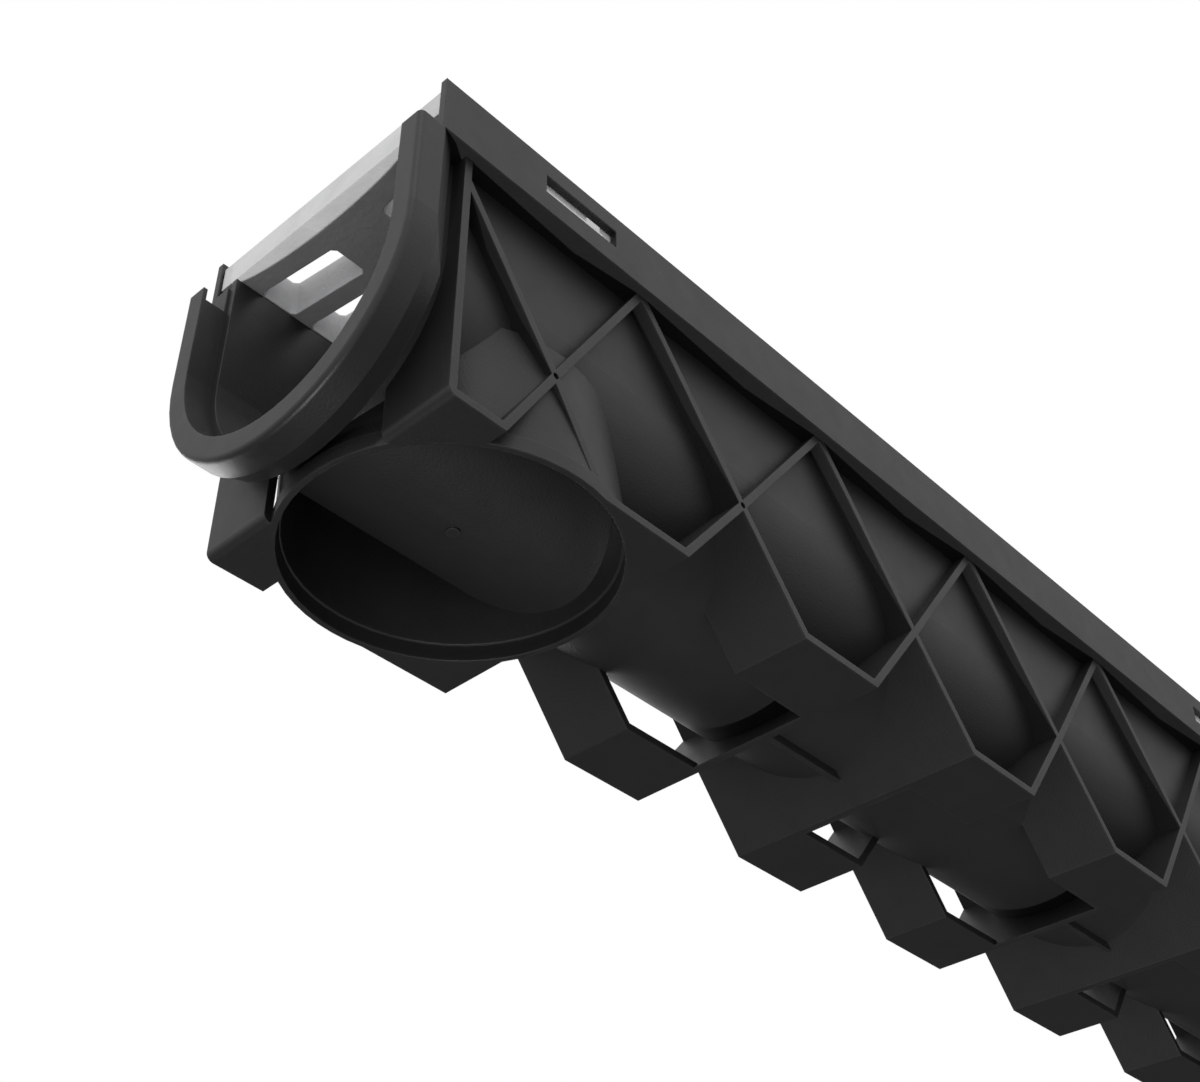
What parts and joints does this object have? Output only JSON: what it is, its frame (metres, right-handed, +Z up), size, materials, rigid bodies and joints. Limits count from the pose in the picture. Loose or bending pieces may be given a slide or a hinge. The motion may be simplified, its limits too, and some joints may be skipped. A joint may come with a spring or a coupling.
{
  "type": "channel drain",
  "caption": "Moulded drainage channel with a ribbed lattice body, a round trough, a collar end, a closed bottom outlet socket and a slotted metal grating on top.",
  "frame": {"origin": "Middle of the length and width, on the plane that the feet stand on.", "axes": "+X runs along the channel from the collar end to the plain end, +Y across it, +Z up to the grating."},
  "size_m": [1.0092, 0.119, 0.127],
  "materials": {
    "black_plastic": "satin moulded polypropylene",
    "coated_metal": "matt zinc coating"
  },
  "bodies": {
    "root": {"channel_body": "black_plastic", "slotted_grating": "coated_metal"}
  },
  "joints": []
}
